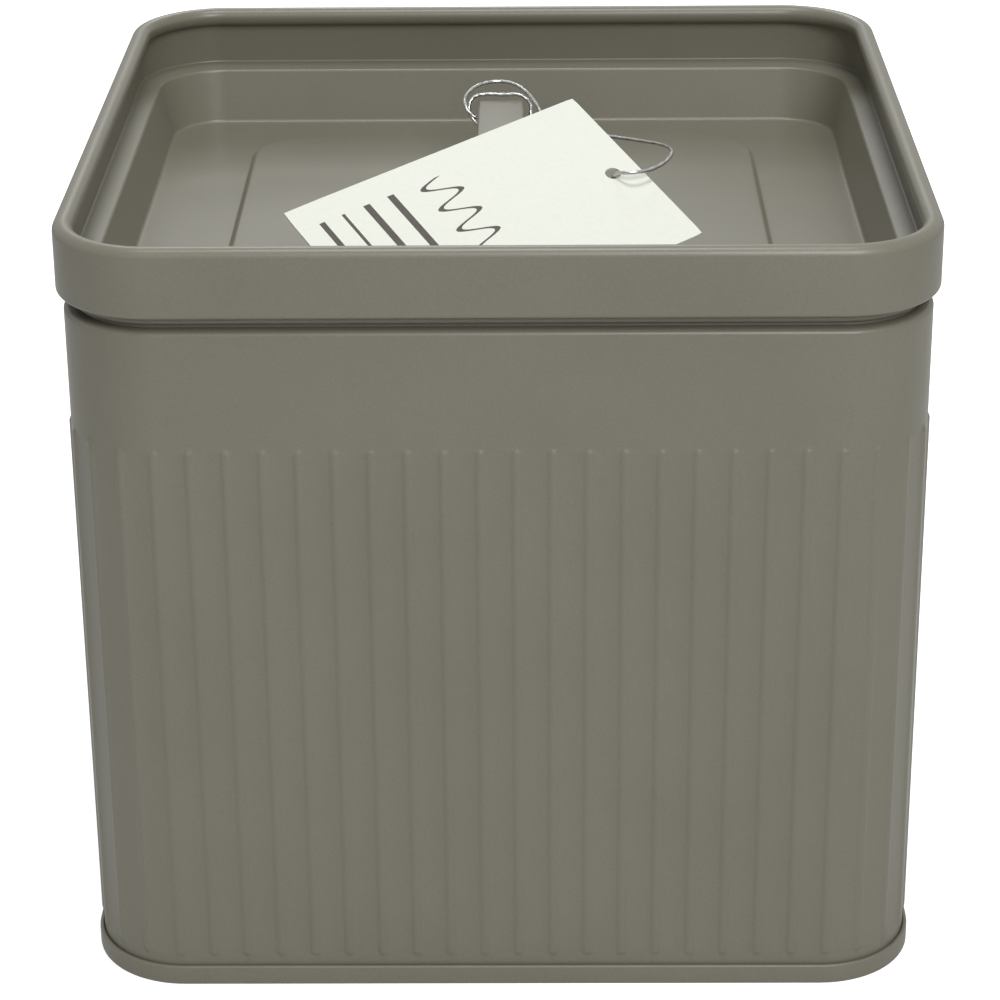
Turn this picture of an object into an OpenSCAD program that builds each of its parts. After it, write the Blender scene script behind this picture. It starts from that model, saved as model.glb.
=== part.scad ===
// Steel storage tin with a lift-off lid, a strap handle and a plain swing tag
// Millimetres, +Z up, front at -Y, origin in the middle of the footprint at the floor

/* [Tin] */
// Outside width of the lid
lid_w = 188; // [160:1:240]
// Outside depth of the lid, front to back
lid_l = 188; // [180:1:240]
// Height from the floor to the top of the rim
total_h = 177; // [120:1:240]
// Outside radius of the lid's upright corners
corner_r = 22; // [18:0.5:30]
// Thickness of the steel sheet
sheet = 0.3; // [0.25:0.05:0.4]

/* [Lid] */
// Outside radius of the rolled bead on the rim
bead_r = 2.2; // [1.8:0.1:2.6]
// Thickness of the double wall under the bead
rim_t = 1.3; // [1.2:0.1:1.6]
// Depth of the ledge's outer edge below the top of the rim
rim_h = 14.6; // [12:0.2:20]
// Radius of the skirt's turned-in bottom edge
hem_r = 1; // [0.8:0.1:1.1]
// Width of the ledge that rests over the rolled edge of the body's neck
ledge_w = 4.8; // [4.4:0.1:7]
// Fall of the ledge towards the middle
ledge_drop = 0.8; // [0.4:0.1:1.4]
// Depth of the plug wall below the ledge
plug_h = 13.2; // [10:0.2:18]
// Inward lean of the plug wall over its depth
plug_lean = 2.9; // [1:0.1:4]
// Inset of the raised middle panel from the lid's sides
emboss_side = 31.5; // [26:0.5:36]
// Inset of the raised middle panel from the lid's front and back
emboss_end = 24.5; // [20:0.5:30]
// Corner radius of the raised middle panel
emboss_r = 15; // [10:0.5:20]
// Height of the raised middle panel
emboss_h = 1.1; // [0.6:0.1:1.6]

/* [Body] */
// Inset of the body's wall from the lid's skirt
body_inset = 1.4; // [1.2:0.1:1.8]
// Height of the open groove between the lid's skirt and the body's shoulder
groove_h = 3.2; // [2.8:0.1:4]
// Inset of the neck above the shoulder from the body's wall
neck_in = 3.2; // [2.8:0.1:3.6]
// Outside radius of the neck's rolled top edge
curl_r = 0.9; // [0.8:0.05:1.1]
// Clearance between the lid and the body
lid_gap = 0.3; // [0.2:0.05:0.6]
// Height of the pressed ribs above the wall
rib_h = 0.5; // [0.4:0.05:0.8]
// Width of a rib
rib_w = 2.4; // [2:0.1:3.2]
// Distance from rib to rib, rounded to fit each quarter of the wall
rib_pitch = 7.67; // [6:0.01:12]
// Height of the ribs' lower ends
rib_from = 7; // [6.5:0.5:20]
// Distance from the top of the rim to the ribs' upper ends
rib_top_drop = 45; // [35:1:70]
// Length of a rib's sloped end
rib_slope = 1.6; // [1:0.1:3]

/* [Base] */
// Height of the rolled seam at the floor
seam_h = 4.8; // [4:0.1:6]
// Clearance between the folded layers of the seam
seam_gap = 0.06; // [0.04:0.01:0.1]
// Height of the bottom plate above the floor
base_rise = 3.5; // [3:0.1:5]

/* [Handle] */
// Length of the strap between its upright ends
strap_l = 72; // [60:1:84]
// Width of the strap
strap_w = 11; // [9:0.5:16]
// Thickness of the strap
strap_t = 1.2; // [1:0.1:1.8]
// Height of the strap's top above the raised panel
strap_h = 21; // [16:0.5:23]
// Outside radius of the strap's upper bends
strap_r = 7; // [4:0.5:10]
// Outward lean of the strap's ends
strap_lean = 1.5; // [0.5:0.5:3]
// Length of each flat foot
foot_l = 11; // [9:0.5:14]
// Radius of a rivet's shank
rivet_r = 1.5; // [1:0.1:2]
// Radius of a rivet's head
rivet_head_r = 2.7; // [2.5:0.1:3.2]
// Height of a rivet's head
rivet_head_h = 1.1; // [0.8:0.1:1.6]
// Clearance round a rivet's shank
rivet_gap = 0.1; // [0.05:0.05:0.2]

/* [Swing tag] */
// Width of the card along its head
tag_w = 51.5; // [46:0.5:54]
// Length of the card
tag_l = 77; // [60:1:78]
// Thickness of the card
tag_t = 0.4; // [0.3:0.05:0.6]
// Radius of the punched hole
tag_hole_r = 1.8; // [1.5:0.1:2.4]
// Distance from the head to the middle of the hole
tag_hole_in = 6.4; // [5:0.2:9]
// Diameter of the string
string_d = 0.9; // [0.7:0.1:1]
// Radius of the string's knot
knot_r = 1.1; // [0.8:0.05:1.15]

/* [Hidden] */
$fn = 96;
paint = [0.48, 0.47, 0.41];

half_sheet = sheet / 2;
// Short flat between two neighbouring bends, long enough for the inner face of the sheet
bend_ease = sheet / 6;

// Lid levels, at the middle of the sheet
rim_z = total_h - half_sheet;
bead_low_z = total_h - 2 * bead_r + half_sheet;
ledge_z = total_h - rim_h - half_sheet;
ledge_in = rim_t + ledge_w + half_sheet;
panel_z = ledge_z - ledge_drop - plug_h;
plug_in = ledge_in + plug_lean;
ledge_bend_r = 0.5;
plug_bend_r = 0.8;
bead_fillet_r = 0.4;
hem_z = ledge_z - half_sheet - lid_gap / 2;
emboss_top = panel_z + emboss_h + half_sheet;
emboss_slope = 1;
emboss_bend_r = 0.6;
flat_overlap = 3;

// Body outline and levels
body_hx = lid_w / 2 - body_inset;
body_hy = lid_l / 2 - body_inset;
body_r = corner_r - body_inset;
curl_mid_r = curl_r - half_sheet;
curl_in = body_inset + half_sheet + neck_in - curl_mid_r;
curl_top = ledge_z - half_sheet - ledge_drop * (curl_in + curl_r / 2 - rim_t) / ledge_w - lid_gap;
shoulder_z = hem_z - sheet - groove_h - half_sheet;
shoulder_bend_r = 1.1;
neck_bend_r = 0.5;
rib_to = total_h - rib_top_drop;
rib_r = (rib_w * rib_w / 4 + rib_h * rib_h) / (2 * rib_h);
rib_sink = 0.25;

// Seam layers, outwards from the wall's outer face
seam_step = sheet + seam_gap;
cover_hook_x = seam_gap + half_sheet;
body_hook_x = cover_hook_x + seam_step;
seam_wall_x = body_hook_x + seam_step;
chuck_x = -sheet - seam_gap - half_sheet;
body_low_z = sheet + seam_gap + half_sheet;
seam_top_z = seam_h - half_sheet;
hook_end_drop = 1;
seam_bend_r = 0.5;
base_bend_r = 0.8;

// Handle levels, at the middle of the strap
foot_z = emboss_top + strap_t / 2;
strap_z = emboss_top + strap_h - strap_t / 2;
strap_top_y = strap_l / 2 - strap_t / 2;
strap_leg_y = strap_top_y + strap_lean;
foot_y = strap_leg_y + foot_l;
foot_bend_r = 1.8;
rivet_y = strap_leg_y + foot_l / 2 + foot_bend_r / 2;
rivet_tail_h = 0.8;
rivet_tail_lip = 0.7;
rivet_tail_r = rivet_r + rivet_tail_lip;
// Steps of the strap's eased long edges, each a loss of width and a share of the thickness
edge_ease = 0.8;
edge_steps = [[0, 0.5], [edge_ease, 0.8], [2 * edge_ease, 1]];

// The card leans on the near end of the strap, with one corner down on the panel
tag_roll = 4;
tag_turn = -55;
tag_head_x = 15.4;
tag_head_y = 29.9;
tag_seat_gap = 0.3;
tag_lift = strap_r + tag_seat_gap + tan(tag_roll) * strap_w / 2;
strap_lean_turn = atan(strap_lean / (strap_z - foot_z));
tag_rest_y = (strap_r - strap_t / 2) / tan(45 + strap_lean_turn / 2) - strap_top_y;
tag_rest_z = emboss_top + strap_h - strap_r;
tag_head = [tag_head_x, tag_head_y];
tag_u = [cos(tag_turn), sin(tag_turn)];
tag_v = [sin(tag_turn), -cos(tag_turn)];
tag_low_corner = tag_head + tag_w * tag_u + tag_l * tag_v;
tag_reach = -tag_low_corner[1];
tag_fall = tag_rest_z - panel_z - half_sheet - tag_seat_gap - sin(tag_roll) * tag_low_corner[0];
tag_tilt = asin(tag_fall / cos(tag_roll) / norm([tag_reach, tag_lift])) + atan(tag_lift / tag_reach);

// Route of the string, a loop through the card and round the strap that starts and ends at its knot
string_knot_at = [24.2, -25.6, 164.4];
string_sides = 8;
string_steps = 2;
string_route = [
    [24.4, -26.1, 165.5],
    [25.2, -28.2, 169.2],
    [26.4, -29.8, 171.8],
    [29.6, -31.6, 172.6],
    [33.8, -29.6, 172.6],
    [37.6, -24, 172.8],
    [39.2, -16, 172.6],
    [37.5, -6, 170.8],
    [33, 4, 168.6],
    [27, 12, 167],
    [20.5, 17.5, 166],
    [14, 21.5, 165.2],
    [8.5, 24.4, 165],
    [2.5, 26, 166],
    [-3.5, 26.4, 166.6],
    [-7.6, 27.2, 168.4],
    [-8.8, 31, 170.8],
    [-6.8, 34.5, 172.4],
    [-3.8, 37.4, 172.8],
    [-0.2, 38.4, 172.9],
    [3, 36.6, 172.8],
    [5.4, 33.2, 172.4],
    [7.8, 29.4, 171],
    [9.8, 24.6, 168.4],
    [10.2, 20, 165],
    [6.2, 18.4, 163.4],
    [0, 22, 163.8],
    [-4.2, 25.8, 164.8],
    [-7, 28.8, 166.6],
    [-7.8, 30.6, 169],
    [-6.6, 31.8, 171],
    [-3.6, 32, 171.6],
    [0.4, 31.6, 171.6],
    [4.4, 31, 171.7],
    [7, 29.8, 170],
    [7.1, 27, 167.4],
    [7, 22.6, 165.8],
    [9.4, 15, 164.6],
    [16, -4, 164.4],
    [23.7, -24.4, 164.4]
];

// Sections and outlines

function unit(v) = v / norm(v);

function arc_steps(r) = r < 0.6 ? 2 : r < 1.6 ? 4 : 6;

// Points of the bend of radius r at corner b between a and c
function bend(a, b, c, r) =
    let (
        u = unit(a - b),
        v = unit(c - b),
        half = acos(u * v) / 2,
        centre = b + unit(u + v) * r / sin(half),
        p = b + u * r / tan(half) - centre,
        q = b + v * r / tan(half) - centre,
        first = atan2(p[1], p[0]),
        turn = (atan2(q[1], q[0]) - first + 540) % 360 - 180,
        n = arc_steps(r)
    )
    [for (i = [0:n]) let (t = first + turn * i / n) centre + r * [cos(t), sin(t)]];

// A path through [x, z, bend radius] corners, with its bends rounded
function rounded(p) =
    let (
        xy = [for (c = p) [c[0], c[1]]],
        last = len(p) - 1
    )
    concat([xy[0]], [for (i = [1:last - 1]) each bend(xy[i - 1], xy[i], xy[i + 1], p[i][2])], [xy[last]]);

// Mitred direction to the left of a path at its point i
function left_of(p, i) =
    let (
        last = len(p) - 1,
        before = unit(i == 0 ? p[1] - p[0] : p[i] - p[i - 1]),
        after = unit(i == last ? p[last] - p[last - 1] : p[i + 1] - p[i]),
        mid = unit([-before[1] - after[1], before[0] + after[0]])
    )
    mid / (mid * [-before[1], before[0]]);

// Outline of a sheet of thickness t along a path
function strip(p, t) =
    concat(
        [for (i = [0:len(p) - 1]) p[i] + left_of(p, i) * t / 2],
        [for (i = [len(p) - 1:-1:0]) p[i] - left_of(p, i) * t / 2]
    );

// Sweeps a section round a rounded rectangle, with the section's x = 0 on the outline
module ring(hx, hy, r) {
    for (turn = [0, 180])
        rotate(turn) translate([hx, hy - r, 0]) rotate([90, 0, 0]) linear_extrude(2 * (hy - r)) children();
    for (turn = [90, 270])
        rotate(turn) translate([hy, hx - r, 0]) rotate([90, 0, 0]) linear_extrude(2 * (hx - r)) children();
    for (corner = [[1, 1, 0], [-1, 1, 90], [-1, -1, 180], [1, -1, 270]])
        translate([corner[0] * (hx - r), corner[1] * (hy - r), 0])
            rotate(corner[2]) rotate_extrude(angle = 90) translate([r, 0]) children();
}

// Flat plate in the shape of a rounded rectangle, centred on height z
module plate(hx, hy, r, z, t = sheet) {
    outline = [
        for (corner = [[1, 1, 0], [-1, 1, 90], [-1, -1, 180], [1, -1, 270]], step = [0:6])
            let (t = corner[2] + step * 15)
            [corner[0] * (hx - r) + r * cos(t), corner[1] * (hy - r) + r * sin(t)]
    ];
    translate([0, 0, z - t / 2]) linear_extrude(t) polygon(outline);
}

// Body

module rib(r, sunk, from, to) {
    end_r = r - rib_h - rib_sink;
    translate([-sunk, 0, 0])
        rotate_extrude()
            polygon([
                [0, from],
                [end_r, from],
                [r, from + rib_slope],
                [r, to - rib_slope],
                [end_r, to],
                [0, to]
            ]);
}

// Places its child on the wall at every rib, a quarter at a time
module at_ribs() {
    side_y = body_hy - body_r;
    side_x = body_hx - body_r;
    quarter_arc = PI * body_r / 2;
    quarter = side_x + side_y + quarter_arc;
    count = round(quarter / rib_pitch);
    for (k = [0:count - 1]) {
        s = (k + 0.5) * quarter / count;
        t = s < side_y ? 0 : min(90, (s - side_y) / body_r * 180 / PI);
        along_y = min(s, side_y);
        along_x = side_x - max(0, s - side_y - quarter_arc);
        for (mx = [0, 1], my = [0, 1])
            mirror([mx, 0, 0]) mirror([0, my, 0])
                translate([along_x + body_r * cos(t), along_y + body_r * sin(t), 0]) rotate(t) children();
    }
}

module body_shell() {
    wall_x = -half_sheet;
    neck_x = wall_x - neck_in;
    curl_end_x = neck_x + 2 * curl_mid_r;
    curl_top_z = curl_top - half_sheet;
    curl_low_z = curl_top_z - 2 * curl_mid_r;
    hook_r = (body_hook_x - wall_x) / 2 - bend_ease;
    roll_r = curl_mid_r - bend_ease;
    wall = rounded([
        [body_hook_x, seam_top_z - hook_end_drop],
        [body_hook_x, body_low_z, hook_r],
        [wall_x, body_low_z, hook_r],
        [wall_x, shoulder_z, shoulder_bend_r],
        [neck_x, shoulder_z, neck_bend_r],
        [neck_x, curl_top_z, roll_r],
        [curl_end_x, curl_top_z, roll_r],
        [curl_end_x, curl_low_z, roll_r],
        [neck_x + 0.9 * curl_mid_r, curl_low_z]
    ]);
    color(paint)
        difference() {
            union() {
                ring(body_hx, body_hy, body_r) polygon(strip(wall, sheet));
                at_ribs()
                    intersection() {
                        rib(rib_r, rib_r - rib_h, rib_from, rib_to);
                        translate([-half_sheet, -rib_w, 0]) cube([2 * rib_h, 2 * rib_w, rib_to + sheet]);
                    }
            }
            at_ribs() rib(rib_r - sheet, rib_r - rib_h, rib_from, rib_to);
        }
}

// Base

module base_plate() {
    fold_r = (seam_wall_x - cover_hook_x) / 2 - bend_ease;
    inner_x = chuck_x - base_bend_r - flat_overlap;
    seam = rounded([
        [cover_hook_x, body_low_z + hook_end_drop],
        [cover_hook_x, seam_top_z, fold_r],
        [seam_wall_x, seam_top_z, fold_r],
        [seam_wall_x, half_sheet, seam_bend_r],
        [chuck_x, half_sheet, seam_bend_r],
        [chuck_x, base_rise, base_bend_r],
        [inner_x, base_rise]
    ]);
    plate_inset = -inner_x - flat_overlap / 2;
    color(paint)
        union() {
            ring(body_hx, body_hy, body_r) polygon(strip(seam, sheet));
            plate(body_hx - plate_inset, body_hy - plate_inset, body_r - plate_inset, base_rise);
        }
}

// Lid

module lid() {
    skirt_x = -half_sheet;
    bead_x = -2 * bead_r + half_sheet;
    wall_x = -rim_t + half_sheet;
    roll_r = bead_r - half_sheet - bend_ease;
    press = rounded([
        [-hem_r, hem_z - half_sheet],
        [skirt_x, hem_z - half_sheet, hem_r - half_sheet - bend_ease],
        [skirt_x, rim_z, roll_r],
        [bead_x, rim_z, roll_r],
        [bead_x, bead_low_z, roll_r],
        [wall_x, bead_low_z, bead_fillet_r],
        [wall_x, ledge_z, ledge_bend_r],
        [-ledge_in, ledge_z - ledge_drop, ledge_bend_r],
        [-plug_in, panel_z, plug_bend_r],
        [-plug_in - flat_overlap, panel_z]
    ]);
    emboss_hx = lid_w / 2 - emboss_side;
    emboss_hy = lid_l / 2 - emboss_end;
    step = rounded([
        [emboss_slope / 2 + flat_overlap, panel_z],
        [emboss_slope / 2, panel_z, emboss_bend_r],
        [-emboss_slope / 2, panel_z + emboss_h, emboss_bend_r],
        [-emboss_slope / 2 - flat_overlap, panel_z + emboss_h]
    ]);
    lap = emboss_slope / 2 + flat_overlap / 2;
    outer_in = plug_in + flat_overlap / 2;
    color(paint)
        difference() {
            union() {
                ring(lid_w / 2, lid_l / 2, corner_r) polygon(strip(press, sheet));
                ring(emboss_hx, emboss_hy, emboss_r) polygon(strip(step, sheet));
                difference() {
                    plate(lid_w / 2 - outer_in, lid_l / 2 - outer_in, corner_r - outer_in, panel_z);
                    plate(emboss_hx + lap, emboss_hy + lap, emboss_r + lap, panel_z, 3 * sheet);
                }
                plate(emboss_hx - lap, emboss_hy - lap, emboss_r - lap, panel_z + emboss_h);
            }
            for (side = [-1, 1])
                translate([0, side * rivet_y, panel_z - emboss_h])
                    cylinder(h = 3 * emboss_h, r = rivet_r + rivet_gap);
        }
}

// Handle

module lid_handle() {
    path = rounded([
        [-foot_y, foot_z],
        [-strap_leg_y, foot_z, foot_bend_r],
        [-strap_top_y, strap_z, strap_r - strap_t / 2],
        [strap_top_y, strap_z, strap_r - strap_t / 2],
        [strap_leg_y, foot_z, foot_bend_r],
        [foot_y, foot_z]
    ]);
    color(paint)
        difference() {
            union() {
                for (edge = edge_steps)
                    translate([-(strap_w - edge[0]) / 2, 0, 0])
                        rotate([90, 0, 90])
                            linear_extrude(strap_w - edge[0]) polygon(strip(path, strap_t * edge[1]));
            }
            for (side = [-1, 1])
                translate([0, side * rivet_y, emboss_top - strap_t])
                    cylinder(h = 3 * strap_t, r = rivet_r + rivet_gap);
        }
}

module handle_rivets() {
    head_z = foot_z + strap_t / 2;
    tail_z = panel_z + emboss_h - half_sheet;
    dome_r = (rivet_head_r * rivet_head_r + rivet_head_h * rivet_head_h) / (2 * rivet_head_h);
    dome_turn = asin(rivet_head_r / dome_r);
    dome = [
        for (i = [0:6])
            let (t = dome_turn * (1 - i / 6))
            [dome_r * sin(t), head_z + rivet_head_h - dome_r + dome_r * cos(t)]
    ];
    color(paint)
        for (side = [-1, 1])
            translate([0, side * rivet_y, 0])
                rotate_extrude()
                    polygon(concat(
                        [[0, tail_z - rivet_tail_h], [rivet_tail_r, tail_z - rivet_tail_h]],
                        [[rivet_tail_r, tail_z], [rivet_r, tail_z], [rivet_r, head_z]],
                        dome
                    ));
}

// Tag

module swing_tag() {
    color([0.94, 0.95, 0.91])
        translate([0, tag_rest_y, tag_rest_z])
            rotate([tag_tilt, tag_roll, 0])
                translate([tag_head_x, tag_head_y, tag_lift])
                    rotate(tag_turn - 90)
                        linear_extrude(tag_t)
                            difference() {
                                square([tag_l, tag_w]);
                                translate([tag_hole_in, tag_w / 2]) circle(r = tag_hole_r);
                            }
}

// Point of a smooth curve through a route, at share t of its stretch i
function on_route(p, i, t) =
    let (
        b = p[i],
        c = p[i + 1],
        a = i > 0 ? p[i - 1] : 2 * b - c,
        d = i + 2 < len(p) ? p[i + 2] : 2 * c - b
    )
    (2 * b + (c - a) * t + (2 * a - 5 * b + 4 * c - d) * t * t + (3 * b - a - 3 * c + d) * t * t * t) / 2;

// Side directions carried along the tangents t, from side u at the first
function carried(t, i, u) =
    let (side = unit(u - (u * t[i]) * t[i]))
    i == len(t) - 1 ? [side] : concat([side], carried(t, i + 1, side));

module tag_string() {
    last = len(string_route) - 1;
    line = concat(
        [for (i = [0:last - 1], k = [0:string_steps - 1]) on_route(string_route, i, k / string_steps)],
        [string_route[last]]
    );
    end = len(line) - 1;
    ahead = [for (i = [0:end]) unit(line[min(end, i + 1)] - line[max(0, i - 1)])];
    sides = carried(ahead, 0, [1, 0, 0]);
    skin = [
        for (i = [0:end], k = [0:string_sides - 1])
            let (turn = 360 * k / string_sides)
            line[i] + string_d / 2 * (cos(turn) * sides[i] + sin(turn) * cross(ahead[i], sides[i]))
    ];
    walls = [
        for (i = [0:end - 1], k = [0:string_sides - 1])
            let (
                a = i * string_sides + k,
                b = i * string_sides + (k + 1) % string_sides,
                c = a + string_sides,
                d = b + string_sides
            )
            each [[a, c, d], [a, d, b]]
    ];
    cap = [for (k = [0:string_sides - 1]) k];
    far_cap = [for (k = [string_sides - 1:-1:0]) end * string_sides + k];
    color([0.75, 0.75, 0.74]) polyhedron(skin, concat(walls, [cap, far_cap]));
}

module string_knot() {
    color([0.75, 0.75, 0.74]) translate(string_knot_at) sphere(r = knot_r);
}

body_shell();
base_plate();
lid();
lid_handle();
handle_rivets();
swing_tag();
tag_string();
string_knot();
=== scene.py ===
import math

import bmesh
import bpy
import numpy as np
from mathutils import Matrix, Vector


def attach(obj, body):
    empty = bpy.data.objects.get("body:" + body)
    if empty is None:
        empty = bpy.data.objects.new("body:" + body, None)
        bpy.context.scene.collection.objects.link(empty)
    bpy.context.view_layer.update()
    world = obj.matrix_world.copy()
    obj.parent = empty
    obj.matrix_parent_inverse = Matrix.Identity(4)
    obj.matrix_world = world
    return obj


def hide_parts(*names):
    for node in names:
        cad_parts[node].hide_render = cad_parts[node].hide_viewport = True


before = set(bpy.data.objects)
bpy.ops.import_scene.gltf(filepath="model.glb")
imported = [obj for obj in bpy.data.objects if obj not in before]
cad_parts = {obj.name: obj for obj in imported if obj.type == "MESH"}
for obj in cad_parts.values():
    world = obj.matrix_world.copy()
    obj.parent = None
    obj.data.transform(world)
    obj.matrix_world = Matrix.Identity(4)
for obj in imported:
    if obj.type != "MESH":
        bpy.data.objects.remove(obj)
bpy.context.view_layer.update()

MM = 0.001

# Sizes of the tin, in millimetres, as in the part's source
LID_W = 188.0
LID_L = 188.0
TOTAL_H = 177.0
CORNER_R = 22.0
SHEET = 0.3
BEAD_R = 2.2
RIM_T = 1.3
RIM_H = 14.6
HEM_R = 1.0
LEDGE_W = 4.8
LEDGE_DROP = 0.8
PLUG_H = 13.2
PLUG_LEAN = 2.9
EMBOSS_SIDE = 31.5
EMBOSS_END = 24.5
EMBOSS_R = 15.0
EMBOSS_H = 1.1
EMBOSS_SLOPE = 1.0
BODY_INSET = 1.4
GROOVE_H = 3.2
NECK_IN = 3.2
CURL_R = 0.9
LID_GAP = 0.3
RIB_H = 0.5
RIB_HALF_W = 1.4
RIB_PITCH = 7.67
RIB_FROM = 7.0
RIB_TOP_DROP = 45.0
SEAM_H = 4.8
SEAM_GAP = 0.06
BASE_RISE = 3.5
STRAP_L = 72.0
STRAP_W = 11.0
STRAP_T = 1.2
STRAP_H = 21.0
STRAP_R = 7.0
STRAP_LEAN = 1.5
FOOT_L = 11.0
RIVET_HEAD_R = 2.7
RIVET_HEAD_H = 1.1
TAG_W = 51.5
TAG_L = 77.0
TAG_T = 0.4
TAG_HOLE_R = 1.8
TAG_HOLE_IN = 6.4
TAG_ROLL = 4.0
TAG_TURN = -55.0
TAG_HEAD = (15.4, 29.9)
TAG_SEAT_GAP = 0.3
STRING_D = 0.9
KNOT_AT = (24.2, -25.6, 164.4)
KNOT_R = 1.1

# The string's route, from the hole's side of the knot and back to the knot
STRING_ROUTE = [
    (24.4, -26.1, 165.5), (25.2, -28.2, 169.2), (26.4, -29.8, 171.8), (29.6, -31.6, 172.6),
    (33.8, -29.6, 172.6), (37.6, -24, 172.8), (39.2, -16, 172.6), (37.5, -6, 170.8),
    (33, 4, 168.6), (27, 12, 167), (20.5, 17.5, 166), (14, 21.5, 165.2),
    (8.5, 24.4, 165), (2.5, 26, 166), (-3.5, 26.4, 166.6), (-7.6, 27.2, 168.4),
    (-8.8, 31, 170.8), (-6.8, 34.5, 172.4), (-3.8, 37.4, 172.8), (-0.2, 38.4, 172.9),
    (3, 36.6, 172.8), (5.4, 33.2, 172.4), (7.8, 29.4, 171), (9.8, 24.6, 168.4),
    (10.2, 20, 165), (6.2, 18.4, 163.4), (0, 22, 163.8), (-4.2, 25.8, 164.8),
    (-7, 28.8, 166.6), (-7.8, 30.6, 169), (-6.6, 31.8, 171), (-3.6, 32, 171.6),
    (0.4, 31.6, 171.6), (4.4, 31, 171.7), (7, 29.8, 170), (7.1, 27, 167.4),
    (7, 22.6, 165.8), (9.4, 15, 164.6), (16, -4, 164.4), (23.7, -24.4, 164.4),
]

# Bends and ends that only show from close by
FOLD_R = 0.7
TIGHT_FOLD_R = 0.5
PANEL_BEND_R = 1.0
EMBOSS_BEND_R = 0.9
SHOULDER_BEND_R = 1.1
FOOT_BEND_R = 1.8
FOOT_END_R = 2.5
RIVET_SHANK_R = 1.5
RIVET_TAIL_R = 2.2
RIVET_TAIL_H = 0.8
WALL_FOOT_Z = 0.66
SEAM_HOOK_Z = 1.6

# Detail of the thread and the card
THREAD_STEPS = 24
TWIST_RINGS = 26
PLY_DEPTH = 0.06
KNOT_STEPS = 96
KNOT_THREAD_R = 0.4
CARD_CORNER_CUT = 0.18
CARD_BOW = 0.25

# Plain bars in the place of the print: distance from the head, from the left edge, length, thickness
PRINT_BARS = [
    (53.6, 23.0, 32.0, 1.7),
    (59.8, 21.0, 28.0, 1.7),
    (65.8, 19.0, 24.0, 0.8),
    (71.2, 20.0, 26.0, 1.4),
]

# A wavy stroke above the bars: as a bar, then its rise to each side and the length of one wave
PRINT_SCROLL = (42.5, 25.5, 37.0, 1.5, 3.8, 7.4)

# Levels that follow from the sizes
HALF = SHEET / 2
RIM_Z = TOTAL_H - HALF
BEAD_LOW_Z = TOTAL_H - 2 * BEAD_R + HALF
LEDGE_Z = TOTAL_H - RIM_H - HALF
LEDGE_IN = RIM_T + LEDGE_W + HALF
PANEL_Z = LEDGE_Z - LEDGE_DROP - PLUG_H
PLUG_IN = LEDGE_IN + PLUG_LEAN
HEM_Z = LEDGE_Z - HALF - LID_GAP / 2
EMBOSS_TOP = PANEL_Z + EMBOSS_H + HALF
BODY_H = LID_W / 2 - BODY_INSET
BODY_R = CORNER_R - BODY_INSET
SHOULDER_Z = HEM_Z - SHEET - GROOVE_H - HALF
CURL_IN = BODY_INSET + HALF + NECK_IN - (CURL_R - HALF)
CURL_TOP = LEDGE_Z - HALF - LEDGE_DROP * (CURL_IN + CURL_R / 2 - RIM_T) / LEDGE_W - LID_GAP
RIB_TO = TOTAL_H - RIB_TOP_DROP


# Camera

def place_camera():
    place = Vector((6.82, -686.6, 390.0)) * MM
    yaw = math.radians(-0.62)
    pitch = math.radians(23.31)
    roll = math.radians(-0.45)
    ahead = Vector((math.sin(yaw) * math.cos(pitch), math.cos(yaw) * math.cos(pitch), -math.sin(pitch)))
    level = Vector((math.cos(yaw), -math.sin(yaw), 0.0))
    above = level.cross(ahead)
    right = math.cos(roll) * level + math.sin(roll) * above
    up = math.cos(roll) * above - math.sin(roll) * level
    data = bpy.data.cameras.new("camera")
    data.sensor_width = 36.0
    data.lens = 110.88
    data.shift_y = -0.06
    data.clip_start = 0.01
    data.clip_end = 50.0
    camera = bpy.data.objects.new("camera", data)
    turn = Matrix((right, up, -ahead)).transposed().to_4x4()
    camera.matrix_world = Matrix.Translation(place) @ turn
    bpy.context.scene.collection.objects.link(camera)
    bpy.context.scene.camera = camera


place_camera()


# Mesh helpers, all in millimetres until the object is made

def make_object(name, verts, faces, sharp=38.0, uv=None):
    mesh = bpy.data.meshes.new(name)
    mesh.from_pydata([tuple(c * MM for c in v) for v in verts], [], faces)
    work = bmesh.new()
    work.from_mesh(mesh)
    bmesh.ops.recalc_face_normals(work, faces=work.faces)
    work.to_mesh(mesh)
    work.free()
    if uv is not None:
        layer = mesh.uv_layers.new(name="card")
        for loop in mesh.loops:
            layer.data[loop.index].uv = uv[loop.vertex_index]
    mesh.polygons.foreach_set("use_smooth", [True] * len(mesh.polygons))
    mesh.set_sharp_from_angle(angle=math.radians(sharp))
    obj = bpy.data.objects.new(name, mesh)
    bpy.context.scene.collection.objects.link(obj)
    return obj


def stand_in(obj, body, slot, material, *nodes):
    """The piece rides on its body and stands for the CAD nodes."""
    obj.data.materials.append(material)
    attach(obj, body)
    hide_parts(*nodes)
    return obj


def bend(a, b, c, radius, degrees_a_step=9.0):
    """Points of the bend at corner b between a and c."""
    a, b, c = (np.array(p[:2], float) for p in (a, b, c))
    u = (a - b) / np.linalg.norm(a - b)
    v = (c - b) / np.linalg.norm(c - b)
    half = math.acos(max(-1.0, min(1.0, float(u @ v)))) / 2
    middle = b + (u + v) / np.linalg.norm(u + v) * radius / math.sin(half)
    first = b + u * radius / math.tan(half) - middle
    last = b + v * radius / math.tan(half) - middle
    start = math.atan2(first[1], first[0])
    turn = (math.atan2(last[1], last[0]) - start + 3 * math.pi) % (2 * math.pi) - math.pi
    steps = max(3, round(abs(math.degrees(turn)) / degrees_a_step))
    angles = [start + turn * i / steps for i in range(steps + 1)]
    return [middle + radius * np.array((math.cos(t), math.sin(t))) for t in angles]


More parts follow.
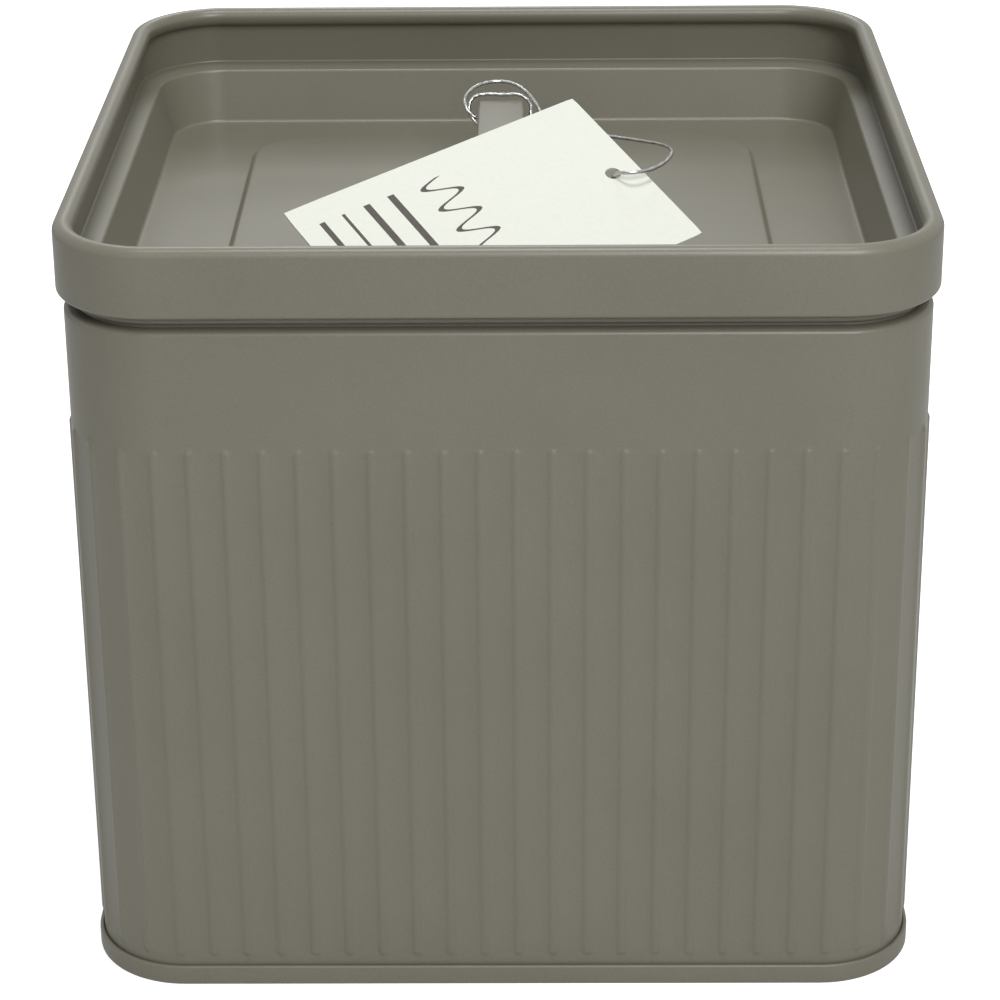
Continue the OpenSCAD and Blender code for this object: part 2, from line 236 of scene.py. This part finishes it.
def rounded(corners, degrees_a_step=9.0):
    """A path through (x, z, bend radius) corners, with its bends rounded."""
    path = [np.array(corners[0][:2], float)]
    for i in range(1, len(corners) - 1):
        if len(corners[i]) == 2:
            path.append(np.array(corners[i], float))
        else:
            path += bend(corners[i - 1], corners[i], corners[i + 1], corners[i][2], degrees_a_step)
    path.append(np.array(corners[-1][:2], float))
    return path


def sides_of(path, thick):
    """The two faces of a sheet along a path, left one first."""
    left, right = [], []
    for i, p in enumerate(path):
        before = path[i] - path[i - 1] if i else path[1] - path[0]
        after = path[i + 1] - path[i] if i < len(path) - 1 else before
        before = before / np.linalg.norm(before)
        after = after / np.linalg.norm(after)
        square = np.array((-before[1] - after[1], before[0] + after[0]))
        square = square / np.linalg.norm(square)
        square = square / (square @ np.array((-before[1], before[0])))
        left.append(p + square * thick / 2)
        right.append(p - square * thick / 2)
    return left, right


def rect_loop(half_x, half_y, radius, z, corner_steps=18, side_steps=6):
    """Points round a rounded rectangle, from the right side's middle."""
    points = []
    straight_x = half_x - radius
    straight_y = half_y - radius
    for sx, sy, turn in ((1, 1, 0), (-1, 1, 90), (-1, -1, 180), (1, -1, 270)):
        for i in range(corner_steps + 1):
            t = math.radians(turn + 90 * i / corner_steps)
            x = sx * straight_x + radius * math.cos(t)
            y = sy * straight_y + radius * math.sin(t)
            points.append((x, y, z))
        far = {0: (-straight_x, half_y), 90: (-half_x, -straight_y), 180: (straight_x, -half_y),
               270: (half_x, straight_y)}[turn]
        for i in range(1, side_steps):
            share = i / side_steps
            points.append((x + (far[0] - x) * share, y + (far[1] - y) * share, z))
    return points


def loft(loops, close=False, cap=True):
    """Quads between loops of equally many points, with flat faces over the first and last loop."""
    count = len(loops[0])
    verts = [p for loop in loops for p in loop]
    faces = []
    for i in range(len(loops) if close else len(loops) - 1):
        a = i * count
        b = (i + 1) % len(loops) * count
        for j in range(count):
            k = (j + 1) % count
            faces.append((a + j, a + k, b + k, b + j))
    if cap and not close:
        faces.append(tuple(range(count)))
        faces.append(tuple(range((len(loops) - 1) * count, len(loops) * count)))
    return verts, faces


def smooth_route(route, steps):
    """A smooth curve through the route's points."""
    points = [np.array(p, float) for p in route]
    line = []
    for i in range(len(points) - 1):
        b, c = points[i], points[i + 1]
        a = points[i - 1] if i else 2 * b - c
        d = points[i + 2] if i + 2 < len(points) else 2 * c - b
        for k in range(steps):
            t = k / steps
            line.append((2 * b + (c - a) * t + (2 * a - 5 * b + 4 * c - d) * t ** 2
                         + (3 * b - a - 3 * c + d) * t ** 3) / 2)
    line.append(points[-1])
    return line


def tube(line, section, closed=False):
    """A tube along a line. section(i, angle) gives its radius there."""
    sides_count = 12
    count = len(line)
    ahead = []
    for i in range(count):
        before = line[i - 1] if i or closed else line[0]
        after = line[(i + 1) % count] if i + 1 < count or closed else line[-1]
        ahead.append((after - before) / np.linalg.norm(after - before))
    across = np.array((1.0, 0.0, 0.0))
    loops = []
    for i in range(count):
        across = across - (across @ ahead[i]) * ahead[i]
        across = across / np.linalg.norm(across)
        other = np.cross(ahead[i], across)
        loop = []
        for k in range(sides_count):
            t = 2 * math.pi * k / sides_count
            loop.append(line[i] + section(i, t) * (math.cos(t) * across + math.sin(t) * other))
        loops.append(loop)
    return loft(loops, close=closed)


# Materials

def node_tree(name):
    material = bpy.data.materials.new(name)
    material.use_nodes = True
    nodes = material.node_tree.nodes
    return material, nodes, material.node_tree.links, nodes["Principled BSDF"]


def new_noise(nodes, links, coords, scale, detail=2.0, roughness=0.5):
    noise = nodes.new("ShaderNodeTexNoise")
    noise.inputs["Scale"].default_value = scale
    noise.inputs["Detail"].default_value = detail
    noise.inputs["Roughness"].default_value = roughness
    links.new(coords, noise.inputs["Vector"])
    return noise.outputs["Fac"]


def ramp(nodes, links, value, low, high, low_colour, high_colour):
    node = nodes.new("ShaderNodeValToRGB")
    node.color_ramp.elements[0].position = low
    node.color_ramp.elements[1].position = high
    node.color_ramp.elements[0].color = (*low_colour, 1.0)
    node.color_ramp.elements[1].color = (*high_colour, 1.0)
    links.new(value, node.inputs["Fac"])
    return node.outputs["Color"]


def span(nodes, links, value, low, high):
    node = nodes.new("ShaderNodeMapRange")
    for socket, end in ((node.inputs["To Min"], low), (node.inputs["To Max"], high)):
        if isinstance(end, float):
            socket.default_value = end
        else:
            links.new(end, socket)
    links.new(value, node.inputs["Value"])
    return node.outputs["Result"]


def bump(nodes, links, height, strength, distance, before=None):
    node = nodes.new("ShaderNodeBump")
    node.inputs["Strength"].default_value = strength
    node.inputs["Distance"].default_value = distance
    links.new(height, node.inputs["Height"])
    if before is not None:
        links.new(before, node.inputs["Normal"])
    return node.outputs["Normal"]


def paint_material():
    """Satin paint on tinplate: fine orange peel, a faint sheet unevenness and a painted highlight on
    sharp convex edges.
    """
    material, nodes, links, shader = node_tree("tin_paint")
    coords = nodes.new("ShaderNodeTexCoord").outputs["Object"]
    cloud = new_noise(nodes, links, coords, 28.0, 3.0)
    base = ramp(nodes, links, cloud, 0.3, 0.7, (0.180, 0.172, 0.130), (0.192, 0.184, 0.141))
    grain = new_noise(nodes, links, coords, 2600.0, 2.0)
    speck = ramp(nodes, links, grain, 0.3, 0.7, (0.94, 0.94, 0.94), (1.05, 1.05, 1.05))
    tint = nodes.new("ShaderNodeMix")
    tint.data_type = "RGBA"
    tint.blend_type = "MULTIPLY"
    tint.inputs["Factor"].default_value = 1.0
    links.new(base, tint.inputs["A"])
    links.new(speck, tint.inputs["B"])
    # Painted highlight: sharp convex edges and folds are blended towards a paler tone, standing in for
    # the light they catch.
    edge = nodes.new("ShaderNodeNewGeometry").outputs["Pointiness"]
    edge_highlight_share = span(nodes, links, edge, 0.0, 0.22)
    edge_highlight_share.node.inputs["From Min"].default_value = 0.54
    edge_highlight_share.node.inputs["From Max"].default_value = 0.62
    edge_highlight_mix = nodes.new("ShaderNodeMix")
    edge_highlight_mix.data_type = "RGBA"
    links.new(edge_highlight_share, edge_highlight_mix.inputs["Factor"])
    links.new(tint.outputs["Result"], edge_highlight_mix.inputs["A"])
    # The paler tone of the painted edge highlight.
    edge_highlight_mix.inputs["B"].default_value = (0.30, 0.29, 0.24, 1.0)
    links.new(edge_highlight_mix.outputs["Result"], shader.inputs["Base Color"])
    links.new(span(nodes, links, cloud, 0.32, 0.4), shader.inputs["Roughness"])
    peel = bump(nodes, links, new_noise(nodes, links, coords, 1500.0, 1.0), 0.06, 0.0002)
    wavy = bump(nodes, links, new_noise(nodes, links, coords, 45.0, 1.0), 0.16, 0.0006, peel)
    links.new(wavy, shader.inputs["Normal"])
    return material


def card_material():
    """Uncoated white card with paper fibre, a wavy stroke and a few plain printed bars."""
    material, nodes, links, shader = node_tree("tag_card")
    texture = nodes.new("ShaderNodeTexCoord")
    coords = texture.outputs["Object"]
    fibre = new_noise(nodes, links, coords, 900.0, 6.0, 0.7)
    paper = ramp(nodes, links, fibre, 0.25, 0.75, (0.79, 0.81, 0.73), (0.84, 0.86, 0.78))
    place = nodes.new("ShaderNodeUVMap")
    place.uv_map = "card"
    split = nodes.new("ShaderNodeSeparateXYZ")
    links.new(place.outputs["UV"], split.inputs[0])

    def math_node(kind, first, second):
        node = nodes.new("ShaderNodeMath")
        node.operation = kind
        for socket, value in ((node.inputs[0], first), (node.inputs[1], second)):
            if isinstance(value, (int, float)):
                socket.default_value = value
            else:
                links.new(value, socket)
        return node.outputs[0]

    def stroke(line, across, length, thick):
        """1 inside a stroke that runs along a line, which is a share of the card's length."""
        off_x = math_node("ABSOLUTE", math_node("SUBTRACT", split.outputs["X"], line), 0.0)
        off_y = math_node("ABSOLUTE", math_node("SUBTRACT", split.outputs["Y"], across / TAG_W), 0.0)
        return math_node("MULTIPLY", math_node("LESS_THAN", off_x, thick / 2 / TAG_L),
                         math_node("LESS_THAN", off_y, length / 2 / TAG_W))

    down, across, length, thick, rise, pitch = PRINT_SCROLL
    phase = math_node("MULTIPLY", split.outputs["Y"], 2 * math.pi * TAG_W / pitch)
    wave = math_node("MULTIPLY", math_node("SINE", phase, 0.0), rise / TAG_L)
    ink = stroke(math_node("ADD", wave, down / TAG_L), across, length, thick)
    for down, across, length, thick in PRINT_BARS:
        ink = math_node("MAXIMUM", ink, stroke(down / TAG_L, across, length, thick))
    faded = math_node("MULTIPLY", ink, span(nodes, links, fibre, 1.0, 0.9))
    printed = nodes.new("ShaderNodeMix")
    printed.data_type = "RGBA"
    links.new(faded, printed.inputs["Factor"])
    links.new(paper, printed.inputs["A"])
    printed.inputs["B"].default_value = (0.055, 0.043, 0.035, 1.0)
    links.new(printed.outputs["Result"], shader.inputs["Base Color"])
    shader.inputs["Roughness"].default_value = 0.72
    links.new(bump(nodes, links, fibre, 0.25, 0.0001), shader.inputs["Normal"])
    return material


def silver_material():
    """Silver metallic thread with a fine, uneven grain."""
    material, nodes, links, shader = node_tree("silver_cord")
    coords = nodes.new("ShaderNodeTexCoord").outputs["Object"]
    fine = new_noise(nodes, links, coords, 3500.0, 3.0)
    links.new(ramp(nodes, links, fine, 0.3, 0.7, (0.36, 0.36, 0.35), (0.58, 0.58, 0.57)),
              shader.inputs["Base Color"])
    shader.inputs["Metallic"].default_value = 1.0
    links.new(span(nodes, links, fine, 0.18, 0.32), shader.inputs["Roughness"])
    links.new(bump(nodes, links, fine, 0.35, 0.0001), shader.inputs["Normal"])
    return material


paint = paint_material()
card_paper = card_material()
silver = silver_material()


# String and knot

def twist(i, angle):
    """Radius of the two-ply thread at ring i of the string."""
    turns = 2 * math.pi * i / TWIST_RINGS
    return STRING_D / 2 * (1 - PLY_DEPTH + PLY_DEPTH * math.cos(2 * (angle - turns)))


string_line = smooth_route(STRING_ROUTE, THREAD_STEPS)
tag_string = make_object("tag_string_thread", *tube(string_line, twist), sharp=80.0)
stand_in(tag_string, "lid", "silver_cord", silver, "tag_string")


def knot_line():
    """A trefoil, small enough that the knot's ball holds the thread along it."""
    size = KNOT_R / 5
    points = []
    for i in range(KNOT_STEPS):
        t = 2 * math.pi * i / KNOT_STEPS
        x = math.sin(t) + 2 * math.sin(2 * t)
        y = math.cos(t) - 2 * math.cos(2 * t)
        points.append(size * np.array((x, y, -math.sin(3 * t))) + np.array(KNOT_AT))
    return points


knot_mesh = tube(knot_line(), lambda i, t: KNOT_THREAD_R, closed=True)
string_knot = make_object("string_knot_tied", *knot_mesh, sharp=80.0)
stand_in(string_knot, "lid", "silver_cord", silver, "string_knot")


# Swing tag

def tag_frame():
    """Origin and turn of the card's plane, as it leans on the strap."""
    strap_z = EMBOSS_TOP + STRAP_H - STRAP_T / 2
    foot_z = EMBOSS_TOP + STRAP_T / 2
    top_y = STRAP_L / 2 - STRAP_T / 2
    lean = math.atan(STRAP_LEAN / (strap_z - foot_z))
    rest_y = (STRAP_R - STRAP_T / 2) / math.tan(math.pi / 4 + lean / 2) - top_y
    rest_z = EMBOSS_TOP + STRAP_H - STRAP_R
    roll = math.radians(TAG_ROLL)
    turn = math.radians(TAG_TURN)
    lift = STRAP_R + TAG_SEAT_GAP + math.tan(roll) * STRAP_W / 2
    along_w = np.array((math.cos(turn), math.sin(turn)))
    along_l = np.array((math.sin(turn), -math.cos(turn)))
    head = np.array(TAG_HEAD)
    low = head + TAG_W * along_w + TAG_L * along_l
    reach = -low[1]
    fall = rest_z - PANEL_Z - HALF - TAG_SEAT_GAP - math.sin(roll) * low[0]
    tilt = math.asin(fall / math.cos(roll) / math.hypot(reach, lift)) + math.atan(lift / reach)
    matrix = np.array(Matrix.Rotation(roll, 3, "Y") @ Matrix.Rotation(tilt, 3, "X"))
    origin = np.array((0.0, rest_y, rest_z))

    def at(x, y, z):
        flat = head + x * along_l + y * along_w
        return origin + matrix @ np.array((flat[0], flat[1], lift + z))

    return at


def make_tag():
    at = tag_frame()
    around = 144
    rings = 22
    hole = (TAG_HOLE_IN, TAG_W / 2)
    outline = []
    for i in range(around):
        t = 2 * math.pi * i / around
        way = (math.cos(t), math.sin(t))
        spans = []
        for c, h, size in ((way[0], hole[0], TAG_L), (way[1], hole[1], TAG_W)):
            if abs(c) > 1e-9:
                spans.append(((size if c > 0 else 0.0) - h) / c)
        reach = min(spans)
        outline.append([hole[0] + way[0] * reach, hole[1] + way[1] * reach])
    for x, y in ((0, 0), (TAG_L, 0), (0, TAG_W), (TAG_L, TAG_W)):
        nearest = min(range(around), key=lambda i: math.dist(outline[i], (x, y)))
        outline[nearest] = [x + (CARD_CORNER_CUT if x == 0 else -CARD_CORNER_CUT),
                            y + (CARD_CORNER_CUT if y == 0 else -CARD_CORNER_CUT)]

    def ring(share, z, inset=0.0):
        points = []
        for i in range(around):
            t = 2 * math.pi * i / around
            inner = (hole[0] + TAG_HOLE_R * math.cos(t), hole[1] + TAG_HOLE_R * math.sin(t))
            x = inner[0] + (outline[i][0] - inner[0]) * share
            y = inner[1] + (outline[i][1] - inner[1]) * share
            x = min(max(x, inset), TAG_L - inset)
            y = min(max(y, inset), TAG_W - inset)
            lift = CARD_BOW * math.sin(math.pi * x / TAG_L) * math.sin(math.pi * y / TAG_W)
            pressed = 0.05 * math.exp(-((math.hypot(x - hole[0], y - hole[1]) - TAG_HOLE_R) / 0.35) ** 2)
            points.append((x, y, z + lift + (pressed if z > TAG_T / 2 else 0.0)))
        return points

    shares = [(i / rings) ** 1.4 for i in range(rings + 1)]
    loops = [ring(s, TAG_T) for s in shares[:-1]]
    loops.append(ring(1.0, TAG_T, 0.05))
    loops.append(ring(1.0, TAG_T - 0.06))
    loops.append(ring(1.0, 0.06))
    loops.append(ring(1.0, 0.0, 0.05))
    loops += [ring(s, 0.0) for s in reversed(shares[:-1])]
    flat = [p for loop in loops for p in loop]
    placed = [[at(*p) for p in loop] for loop in loops]
    verts, faces = loft(placed, close=True)
    uv = [(p[0] / TAG_L, p[1] / TAG_W) for p in flat]
    return make_object("swing_tag_card", verts, faces, uv=uv)


swing_tag = make_tag()
stand_in(swing_tag, "lid", "tag_card", card_paper, "swing_tag")


# Lid

def make_lid():
    roll_r = BEAD_R - HALF - SHEET / 6
    bead_x = -2 * BEAD_R + HALF
    wall_x = -RIM_T + HALF
    press = rounded([
        (-HEM_R, HEM_Z - HALF),
        (-HALF, HEM_Z - HALF, HEM_R - HALF - SHEET / 6),
        (-HALF, RIM_Z, roll_r),
        (bead_x, RIM_Z, roll_r),
        (bead_x, BEAD_LOW_Z, roll_r),
        (wall_x, BEAD_LOW_Z, TIGHT_FOLD_R),
        (wall_x, LEDGE_Z, FOLD_R),
        (-LEDGE_IN, LEDGE_Z - LEDGE_DROP, FOLD_R),
        (-PLUG_IN, PANEL_Z, PANEL_BEND_R),
        (-PLUG_IN - 2.0, PANEL_Z),
    ])
    step = rounded([
        (EMBOSS_SLOPE / 2 + 1.5, PANEL_Z),
        (EMBOSS_SLOPE / 2, PANEL_Z, EMBOSS_BEND_R),
        (-EMBOSS_SLOPE / 2, PANEL_Z + EMBOSS_H, EMBOSS_BEND_R),
        (-EMBOSS_SLOPE / 2 - 2.0, PANEL_Z + EMBOSS_H),
    ], 6.0)
    faces_of_press = sides_of(press, SHEET)
    faces_of_step = sides_of(step, SHEET)

    def loops(side):
        found = []
        for u, z in faces_of_press[side]:
            found.append(rect_loop(LID_W / 2 + u, LID_L / 2 + u, CORNER_R + u, z))
        half_x = LID_W / 2 - EMBOSS_SIDE
        half_y = LID_L / 2 - EMBOSS_END
        for u, z in faces_of_step[side]:
            found.append(rect_loop(half_x + u, half_y + u, EMBOSS_R + u, z))
        return found

    one, other = loops(0), loops(1)
    verts, faces = loft(list(reversed(one)) + other)
    return make_object("lid_pressing", verts, faces)


lid = make_lid()
stand_in(lid, "lid", "tin_paint", paint, "lid")


# Handle and rivets

def make_handle():
    strap_z = EMBOSS_TOP + STRAP_H - STRAP_T / 2
    foot_z = EMBOSS_TOP + STRAP_T / 2
    top_y = STRAP_L / 2 - STRAP_T / 2
    leg_y = top_y + STRAP_LEAN
    foot_y = leg_y + FOOT_L
    path = rounded([
        (-foot_y, foot_z),
        (-leg_y, foot_z, FOOT_BEND_R),
        (-top_y, strap_z, STRAP_R - STRAP_T / 2),
        (top_y, strap_z, STRAP_R - STRAP_T / 2),
        (leg_y, foot_z, FOOT_BEND_R),
        (foot_y, foot_z),
    ], 6.0)
    end_r = FOOT_END_R
    insets = [end_r * (1 - math.cos(t)) for t in np.linspace(0.35, math.pi / 2, 9)]
    near_end = [path[0] + np.array((inset, 0)) for inset in insets]
    far_end = [path[-1] - np.array((inset, 0)) for inset in reversed(insets)]
    path = [path[0]] + near_end + path[1:-1] + far_end + [path[-1]]
    edge = STRAP_T / 2 - 0.04
    loops = []
    for i, p in enumerate(path):
        before = path[max(0, i - 1)]
        after = path[min(len(path) - 1, i + 1)]
        ahead = (after - before) / np.linalg.norm(after - before)
        square = np.array((-ahead[1], ahead[0]))
        near = min(abs(p[0] + foot_y), abs(p[0] - foot_y))
        cut = 0.0
        if near < end_r and p[1] < foot_z + 0.01:
            cut = end_r - math.sqrt(max(0.0, end_r ** 2 - (end_r - near) ** 2))
        half_w = STRAP_W / 2 - cut
        section = []
        for side, first in ((1, -90), (-1, 90)):
            for k in range(7):
                t = math.radians(first + 180 * k / 6)
                x = side * (half_w - edge) + edge * math.cos(t)
                section.append((x, STRAP_T / 2 * math.sin(t)))
        loops.append([(x, p[0] + square[0] * y, p[1] + square[1] * y) for x, y in section])
    return make_object("lid_handle_strap", *loft(loops), sharp=50.0)


handle = make_handle()
stand_in(handle, "lid", "tin_paint", paint, "lid_handle")


def make_rivets():
    rivet_y = STRAP_L / 2 - STRAP_T / 2 + STRAP_LEAN + FOOT_L / 2 + 0.9
    head_z = EMBOSS_TOP + STRAP_T
    rim_h = 0.12
    centre_r = 0.02
    profile = [(centre_r, head_z + RIVET_HEAD_H)]
    for k in range(1, 13):
        t = math.pi / 2 * k / 12
        rise = rim_h + (RIVET_HEAD_H - rim_h) * math.cos(t)
        profile.append((RIVET_HEAD_R * math.sin(t) ** 0.9, head_z + rise))
    tail_z = PANEL_Z + EMBOSS_H - HALF
    profile += [
        (RIVET_HEAD_R, head_z + 0.04),
        (RIVET_HEAD_R - 0.05, head_z),
        (RIVET_SHANK_R, head_z),
        (RIVET_SHANK_R, tail_z),
        (RIVET_TAIL_R, tail_z),
        (RIVET_TAIL_R - 0.05, tail_z - 0.5),
        (RIVET_TAIL_R - 0.5, tail_z - RIVET_TAIL_H),
        (centre_r, tail_z - RIVET_TAIL_H),
    ]
    verts, faces = [], []
    for side in (-1, 1):
        loops = []
        for radius, z in profile:
            loops.append([(radius * math.cos(t), side * rivet_y + radius * math.sin(t), z)
                          for t in np.linspace(0, 2 * math.pi, 40, endpoint=False)])
        more, their_faces = loft(loops)
        faces += [tuple(i + len(verts) for i in face) for face in their_faces]
        verts += more
    return make_object("handle_rivet_pair", verts, faces)


rivets = make_rivets()
stand_in(rivets, "lid", "tin_paint", paint, "handle_rivets")


# Body wall with its pressed ribs

def wall_columns():
    """Points round the wall, each with its outward normal and its distance to the nearest rib."""
    straight = BODY_H - BODY_R
    arc = math.pi * BODY_R / 2
    quarter = 2 * straight + arc
    count = round(quarter / RIB_PITCH)
    pitch = quarter / count
    offsets = (-1.4, -1.12, -0.82, -0.42, 0.0, 0.42, 0.82, 1.12, 1.4)
    stations = [(0.0, pitch / 2)]
    for k in range(count):
        middle = (k + 0.5) * pitch
        stations += [(middle + d, abs(d)) for d in offsets]
        stations.append((middle + pitch / 2, pitch / 2))
    one = []
    for s, off in stations:
        t = 0.0 if s < straight else min(math.pi / 2, (s - straight) / BODY_R)
        y = min(s, straight) + BODY_R * math.sin(t)
        x = straight - max(0.0, s - straight - arc) + BODY_R * math.cos(t)
        one.append((x, y, math.cos(t), math.sin(t), off))
    columns = list(one)
    columns += [(-x, y, -nx, ny, off) for x, y, nx, ny, off in reversed(one[:-1])]
    columns += [(-x, -y, -nx, -ny, off) for x, y, nx, ny, off in one[1:]]
    columns += [(x, -y, nx, -ny, off) for x, y, nx, ny, off in reversed(one[1:-1])]
    return columns


def rib_rise(off, z):
    """Height of the pressed rib, with round ends."""
    core_low = RIB_FROM + RIB_HALF_W
    core_high = RIB_TO - RIB_HALF_W
    beyond = max(core_low - z, z - core_high, 0.0)
    share = math.hypot(off, beyond) / RIB_HALF_W
    return RIB_H * (1 - share ** 2) ** 1.4 if share < 1 else 0.0


def make_body():
    wall_x = -HALF
    curl_mid = CURL_R - HALF
    curl_r = curl_mid - SHEET / 6
    neck_x = wall_x - NECK_IN
    curl_x = neck_x + 2 * curl_mid
    top_z = CURL_TOP - HALF
    end_rows = (0.0, 0.42, 0.82, 1.12, 1.4)
    rows = [SEAM_H + 0.4]
    rows += [RIB_FROM + RIB_HALF_W - d for d in reversed(end_rows)]
    rows += [40.0, 72.0, 104.0]
    rows += [RIB_TO - RIB_HALF_W + d for d in end_rows]
    rows += [RIB_TO + 1.0, 146.0]
    path = [np.array((wall_x, WALL_FOOT_Z))]
    path += [np.array((wall_x, z)) for z in rows]
    path += rounded([
        (wall_x, SHOULDER_Z - 3.0),
        (wall_x, SHOULDER_Z, SHOULDER_BEND_R),
        (neck_x, SHOULDER_Z, TIGHT_FOLD_R),
        (neck_x, top_z, curl_r),
        (curl_x, top_z, curl_r),
        (curl_x, top_z - 2 * curl_mid, curl_r),
        (neck_x + 0.9 * curl_mid, top_z - 2 * curl_mid),
    ], 18.0)
    left, right = sides_of(path, SHEET)
    section = left + list(reversed(right))
    columns = wall_columns()
    loops = []
    for u, z in section:
        lowest, highest = RIB_FROM - 1, RIB_TO + 1
        on_wall = abs(u - wall_x) < SHEET and lowest < z < highest
        loop = []
        for x, y, nx, ny, off in columns:
            out = u + (rib_rise(off, z) if on_wall else 0.0)
            loop.append((x + nx * out, y + ny * out, z))
        loops.append(loop)
    return make_object("body_wall", *loft(loops, close=True))


body = make_body()
stand_in(body, "box", "tin_paint", paint, "body_shell")


# Base plate with its rolled seam

def make_base():
    cover_x = SEAM_GAP + HALF
    outer_x = cover_x + 2 * (SHEET + SEAM_GAP)
    chuck_x = -SHEET - SEAM_GAP - HALF
    fold_r = (outer_x - cover_x) / 2 - SHEET / 6
    seam = rounded([
        (cover_x, SEAM_HOOK_Z),
        (cover_x, SEAM_H - HALF, fold_r),
        (outer_x, SEAM_H - HALF, fold_r),
        (outer_x, HALF, TIGHT_FOLD_R),
        (chuck_x, HALF, TIGHT_FOLD_R),
        (chuck_x, BASE_RISE, 0.8),
        (chuck_x - 4.0, BASE_RISE),
    ])
    one, other = sides_of(seam, SHEET)
    loops = [rect_loop(BODY_H + u, BODY_H + u, BODY_R + u, z) for u, z in list(reversed(one)) + other]
    return make_object("base_pressing", *loft(loops))


base = make_base()
stand_in(base, "box", "tin_paint", paint, "base_plate")


# Floor, lamps and world, in metres and watts

AIM = (0.0, 0.0, 0.15)
PLAIN_SKY = 0.26
MIRRORED_SKY = 0.7
FLOOR_GLOW = 0.78


def seen_strength(nodes, links, plain, mirrored, seen):
    """One strength for plain light, one for reflections and one for the camera."""
    path = nodes.new("ShaderNodeLightPath")
    unseen = span(nodes, links, path.outputs["Is Glossy Ray"], plain, mirrored)
    return span(nodes, links, path.outputs["Is Camera Ray"], unseen, seen)


def make_floor():
    half = 6.0
    corners = [(-half, -half, 0), (half, -half, 0), (half, half, 0), (-half, half, 0)]
    mesh = bpy.data.meshes.new("floor")
    mesh.from_pydata(corners, [], [(0, 1, 2, 3)])
    floor = bpy.data.objects.new("floor", mesh)
    bpy.context.scene.collection.objects.link(floor)
    material, nodes, links, shader = node_tree("floor_white")
    shader.inputs["Base Color"].default_value = (0.85, 0.85, 0.85, 1.0)
    shader.inputs["Roughness"].default_value = 0.9
    shader.inputs["Specular IOR Level"].default_value = 0.0
    shader.inputs["Emission Color"].default_value = (1.0, 1.0, 1.0, 1.0)
    links.new(seen_strength(nodes, links, 0.0, 0.0, FLOOR_GLOW), shader.inputs["Emission Strength"])
    floor.data.materials.append(material)


def make_lamp(name, place, size, power):
    data = bpy.data.lights.new(name, "AREA")
    data.shape = "RECTANGLE"
    data.size, data.size_y = size
    data.energy = power
    lamp = bpy.data.objects.new(name, data)
    lamp.location = place
    lamp.rotation_euler = (Vector(AIM) - Vector(place)).to_track_quat("-Z", "Y").to_euler()
    bpy.context.scene.collection.objects.link(lamp)


make_floor()
make_lamp("lamp_front", (0.42, -1.38, 1.25), (0.5, 0.8), 16.5)
make_lamp("lamp_above", (0.0, -0.1, 1.6), (0.4, 0.4), 7.5)
make_lamp("lamp_back", (-0.10, 1.25, 1.15), (0.5, 0.6), 4.0)

world = bpy.data.worlds.new("studio")
world.use_nodes = True
bpy.context.scene.world = world
sky = world.node_tree.nodes["Background"]
sky.inputs["Color"].default_value = (1.0, 1.0, 1.0, 1.0)
sky_links = world.node_tree.links
sky_strength = seen_strength(world.node_tree.nodes, sky_links, PLAIN_SKY, MIRRORED_SKY, 1.0)
sky_links.new(sky_strength, sky.inputs["Strength"])

bpy.context.scene.view_settings.view_transform = "Standard"
